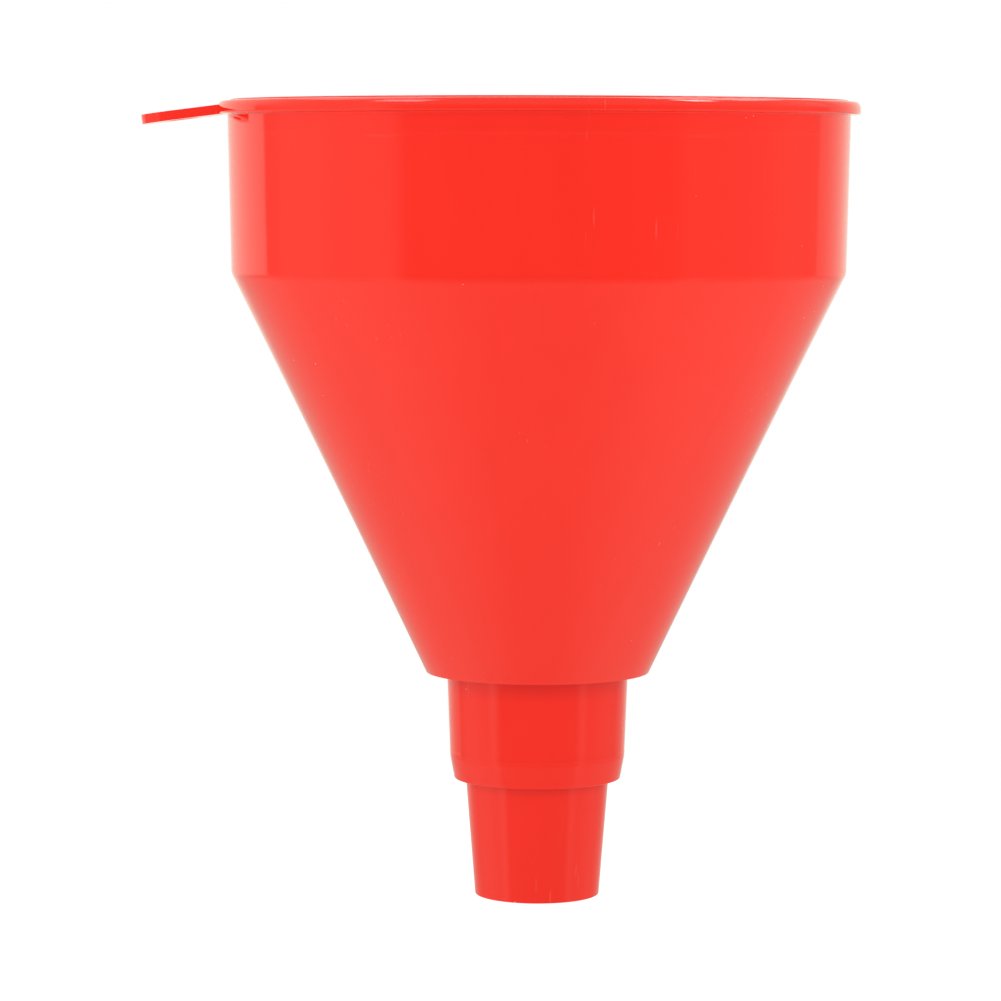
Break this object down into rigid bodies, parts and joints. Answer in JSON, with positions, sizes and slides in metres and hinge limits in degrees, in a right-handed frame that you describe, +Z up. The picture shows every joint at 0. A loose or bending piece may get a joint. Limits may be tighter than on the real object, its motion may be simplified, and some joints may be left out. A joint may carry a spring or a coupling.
{
  "type": "funnel",
  "caption": "Large moulded plastic funnel with a straight bowl, a cone, a stepped spout, a hanging tab and a lift-out gauze strainer.",
  "frame": {"origin": "on the funnel's axis, in the plane of the tip's open end", "axes": "+Z up along the funnel's axis towards the open bowl; the hanging tab points along -X"},
  "size_m": [0.2687, 0.24, 0.3],
  "materials": {
    "red_polyethylene": "glossy",
    "black_polymer": "satin",
    "gauze_brass": "woven wire"
  },
  "bodies": {
    "funnel": {"funnel_body": "red_polyethylene"},
    "strainer": {"strainer_frame": "black_polymer", "strainer_gauze": "gauze_brass", "strainer_clamp_ring": "black_polymer", "strainer_knob": "black_polymer"}
  },
  "joints": [
    {"name": "strainer_lift", "type": "slide", "parent": "funnel", "child": "strainer", "axis": [0, 0, 1], "range_m": [0, 0.23]}
  ]
}
